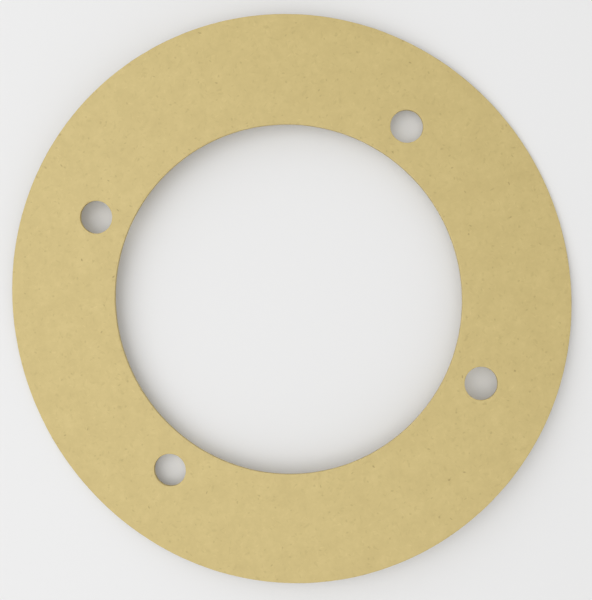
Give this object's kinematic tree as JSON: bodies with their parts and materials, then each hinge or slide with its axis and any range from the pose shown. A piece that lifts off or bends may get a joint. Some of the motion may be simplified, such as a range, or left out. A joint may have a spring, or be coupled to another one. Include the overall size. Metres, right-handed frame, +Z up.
{
  "type": "flange gasket",
  "caption": "Round sheet gasket with a wide central opening and bolt holes, lying free with a slight curl; it seals between bolted flanges.",
  "frame": {"origin": "on the surface the gasket lies on, under the middle of the ring", "axes": "+Z up through the opening, +X along the long side of the bolt rectangle, +Y along its short side"},
  "size_m": [0.1542, 0.155, 0.0081],
  "materials": {
    "fibre_sheet": "matte"
  },
  "bodies": {
    "root": {"gasket": "fibre_sheet"}
  },
  "joints": []
}
